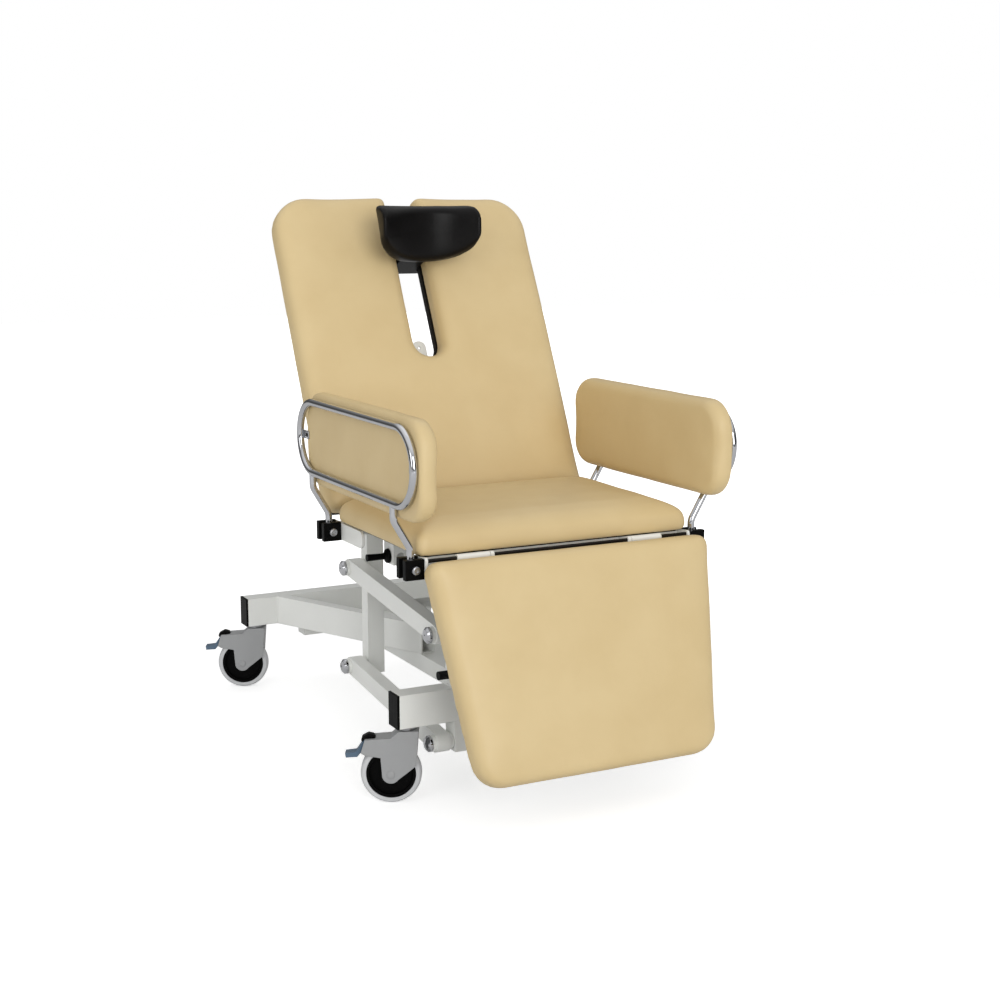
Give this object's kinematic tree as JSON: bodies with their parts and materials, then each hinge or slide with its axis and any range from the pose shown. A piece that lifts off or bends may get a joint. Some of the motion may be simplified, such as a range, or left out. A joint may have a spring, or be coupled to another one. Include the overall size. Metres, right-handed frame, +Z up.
{
  "type": "ear, nose and throat treatment chair",
  "caption": "Height-adjustable treatment chair on castors: slotted reclining back, swinging leg section, fold-down padded armrests and a sliding, tilting headrest.",
  "frame": {"origin": "on the floor, under the middle of the chair's bounding box", "axes": "+X to the sitter's left as seen from the front, on the picture's right; +Y from the leg section to the back; +Z up"},
  "size_m": [0.8366, 1.2897, 1.2199],
  "materials": {
    "cream_vinyl": "satin",
    "black_vinyl": "satin",
    "light_paint": "satin",
    "chrome": "polished",
    "steel": "satin",
    "dark_steel": "satin",
    "black_plastic": "matte",
    "carriage_black": "matte",
    "black_rubber": "matte",
    "board": "matte",
    "grey_plastic": "matte",
    "wheel_black": "matte",
    "tyre_grey": "matte",
    "pedal_blue": "matte"
  },
  "bodies": {
    "base": {"front_crossbeam": "light_paint", "rear_crossbeam": "light_paint", "beam_end_caps": "black_plastic", "base_spine": "light_paint", "cylinder_clevis": "light_paint", "rear_tie_bar": "light_paint", "rear_braces": "light_paint", "link_brackets": "light_paint", "front_pivot_pins": "steel", "front_pivot_caps": "chrome", "stop_buffers": "black_rubber", "castor_stems": "steel"},
    "upper_links": {"upper_arms": "light_paint", "arm_cross_tube": "light_paint"},
    "lower_links": {"lower_arms": "light_paint"},
    "carrier": {"lift_posts": "light_paint", "rear_pivot_pins": "steel", "rear_pivot_caps": "chrome", "seat_frame": "light_paint", "accessory_sockets": "light_paint", "armrest_clamps": "black_plastic", "clamp_bolts": "steel", "seat_board": "board", "seat_cushion": "cream_vinyl", "leg_hinge_rod": "dark_steel", "back_hinge_pins": "steel"},
    "cylinder": {"lift_cylinder": "light_paint"},
    "piston_rod": {"lift_piston_rod": "chrome"},
    "leg_section": {"leg_frame": "light_paint", "leg_board": "board", "leg_cushion": "cream_vinyl"},
    "back_section": {"back_frame": "light_paint", "back_board": "board", "back_cushion": "cream_vinyl", "headrest_guides": "steel"},
    "headrest_slider": {"headrest_carriage": "carriage_black"},
    "headrest": {"headrest_lug": "black_plastic", "headrest_pad": "black_vinyl"},
    "left_armrest": {"armrest_left_loop": "chrome", "armrest_left_pad": "cream_vinyl"},
    "right_armrest": {"armrest_right_loop": "chrome", "armrest_right_pad": "cream_vinyl"},
    "left_knob": {"knob_left": "black_plastic"},
    "right_knob": {"knob_right": "black_plastic"},
    "castor_front_left_fork": {"castor_front_left_housing": "grey_plastic"},
    "castor_front_left_roller": {"castor_front_left_wheel": "wheel_black", "castor_front_left_tyre": "tyre_grey"},
    "castor_front_left_brake": {"castor_front_left_pedal": "pedal_blue"},
    "castor_front_right_fork": {"castor_front_right_housing": "grey_plastic"},
    "castor_front_right_roller": {"castor_front_right_wheel": "wheel_black", "castor_front_right_tyre": "tyre_grey"},
    "castor_front_right_brake": {"castor_front_right_pedal": "pedal_blue"},
    "castor_rear_left_fork": {"castor_rear_left_housing": "grey_plastic"},
    "castor_rear_left_roller": {"castor_rear_left_wheel": "wheel_black", "castor_rear_left_tyre": "tyre_grey"},
    "castor_rear_left_brake": {"castor_rear_left_pedal": "pedal_blue"},
    "castor_rear_right_fork": {"castor_rear_right_housing": "grey_plastic"},
    "castor_rear_right_roller": {"castor_rear_right_wheel": "wheel_black", "castor_rear_right_tyre": "tyre_grey"},
    "castor_rear_right_brake": {"castor_rear_right_pedal": "pedal_blue"}
  },
  "joints": [
    {"name": "lift", "type": "hinge", "parent": "base", "child": "upper_links", "pos_m": [0, -0.3635, 0.345], "axis": [1, 0, 0], "range_deg": [-4, 27]},
    {"name": "lower_link_follow", "type": "hinge", "parent": "base", "child": "lower_links", "pos_m": [0, -0.3635, 0.116], "axis": [1, 0, 0], "range_deg": [-4, 27]},
    {"name": "seat_level", "type": "hinge", "parent": "upper_links", "child": "carrier", "pos_m": [0, 0.08975, 0.39504], "axis": [1, 0, 0], "range_deg": [-27, 4]},
    {"name": "cylinder_lean", "type": "hinge", "parent": "base", "child": "cylinder", "pos_m": [0, -0.2835, 0.175], "axis": [1, 0, 0], "range_deg": [-2, 13]},
    {"name": "piston_stroke", "type": "slide", "parent": "cylinder", "child": "piston_rod", "axis": [0, 0.4622, 0.8868], "range_m": [-0.0096, 0.064]},
    {"name": "back_recline", "type": "hinge", "parent": "carrier", "child": "back_section", "pos_m": [0, 0.0585, 0.505], "axis": [-1, 0, 0], "range_deg": [-3, 62]},
    {"name": "leg_swing", "type": "hinge", "parent": "carrier", "child": "leg_section", "pos_m": [0, -0.4585, 0.521], "axis": [-1, 0, 0], "range_deg": [-8, 73]},
    {"name": "headrest_height", "type": "slide", "parent": "back_section", "child": "headrest_slider", "axis": [0, 0.4415, 0.8973], "range_m": [-0.14, 0.08]},
    {"name": "headrest_tilt", "type": "hinge", "parent": "headrest_slider", "child": "headrest", "pos_m": [0, 0.25208, 1.13396], "axis": [1, 0, 0], "range_deg": [-25, 6]},
    {"name": "left_armrest_fold", "type": "hinge", "parent": "carrier", "child": "left_armrest", "pos_m": [-0.326, -0.224, 0.506], "axis": [0, -1, 0], "range_deg": [0, 100]},
    {"name": "right_armrest_fold", "type": "hinge", "parent": "carrier", "child": "right_armrest", "pos_m": [0.326, -0.224, 0.506], "axis": [0, 1, 0], "range_deg": [0, 100]},
    {"name": "left_knob_turn", "type": "hinge", "parent": "carrier", "child": "left_knob", "pos_m": [-0.24, -0.1305, 0.464], "axis": [1, 0, 0], "continuous": true},
    {"name": "right_knob_turn", "type": "hinge", "parent": "carrier", "child": "right_knob", "pos_m": [0.24, -0.1305, 0.464], "axis": [1, 0, 0], "continuous": true},
    {"name": "castor_front_left_swivel", "type": "hinge", "parent": "base", "child": "castor_front_left_fork", "pos_m": [-0.302, -0.3575, 0.14], "axis": [0, 0, 1], "range_deg": [-80, 135]},
    {"name": "castor_front_left_roll", "type": "hinge", "parent": "castor_front_left_fork", "child": "castor_front_left_roller", "pos_m": [-0.32962, -0.34343, 0.0625], "axis": [-0.454, -0.891, 0], "continuous": true},
    {"name": "castor_front_left_brake_press", "type": "hinge", "parent": "castor_front_left_fork", "child": "castor_front_left_brake", "pos_m": [-0.36972, -0.323, 0.125], "axis": [-0.454, -0.891, 0], "range_deg": [0, 15]},
    {"name": "castor_front_right_swivel", "type": "hinge", "parent": "base", "child": "castor_front_right_fork", "pos_m": [0.302, -0.3575, 0.14], "axis": [0, 0, 1], "range_deg": [-135, 80]},
    {"name": "castor_front_right_roll", "type": "hinge", "parent": "castor_front_right_fork", "child": "castor_front_right_roller", "pos_m": [0.32962, -0.34343, 0.0625], "axis": [-0.454, 0.891, 0], "continuous": true},
    {"name": "castor_front_right_brake_press", "type": "hinge", "parent": "castor_front_right_fork", "child": "castor_front_right_brake", "pos_m": [0.36972, -0.323, 0.125], "axis": [-0.454, 0.891, 0], "range_deg": [0, 15]},
    {"name": "castor_rear_left_swivel", "type": "hinge", "parent": "base", "child": "castor_rear_left_fork", "pos_m": [-0.302, 0.5775, 0.14], "axis": [0, 0, 1], "continuous": true},
    {"name": "castor_rear_left_roll", "type": "hinge", "parent": "castor_rear_left_fork", "child": "castor_rear_left_roller", "pos_m": [-0.32962, 0.59157, 0.0625], "axis": [-0.454, -0.891, 0], "continuous": true},
    {"name": "castor_rear_left_brake_press", "type": "hinge", "parent": "castor_rear_left_fork", "child": "castor_rear_left_brake", "pos_m": [-0.36972, 0.612, 0.125], "axis": [-0.454, -0.891, 0], "range_deg": [0, 15]},
    {"name": "castor_rear_right_swivel", "type": "hinge", "parent": "base", "child": "castor_rear_right_fork", "pos_m": [0.302, 0.5775, 0.14], "axis": [0, 0, 1], "continuous": true},
    {"name": "castor_rear_right_roll", "type": "hinge", "parent": "castor_rear_right_fork", "child": "castor_rear_right_roller", "pos_m": [0.32962, 0.59157, 0.0625], "axis": [-0.454, 0.891, 0], "continuous": true},
    {"name": "castor_rear_right_brake_press", "type": "hinge", "parent": "castor_rear_right_fork", "child": "castor_rear_right_brake", "pos_m": [0.36972, 0.612, 0.125], "axis": [-0.454, 0.891, 0], "range_deg": [0, 15]}
  ],
  "couplings": [
    {"joint": "lower_link_follow", "follows": "lift", "ratio": 1},
    {"joint": "seat_level", "follows": "lift", "ratio": -1},
    {"joint": "cylinder_lean", "follows": "lift", "ratio": 0.48},
    {"joint": "piston_stroke", "follows": "lift", "m_per_rad": 0.1356}
  ]
}
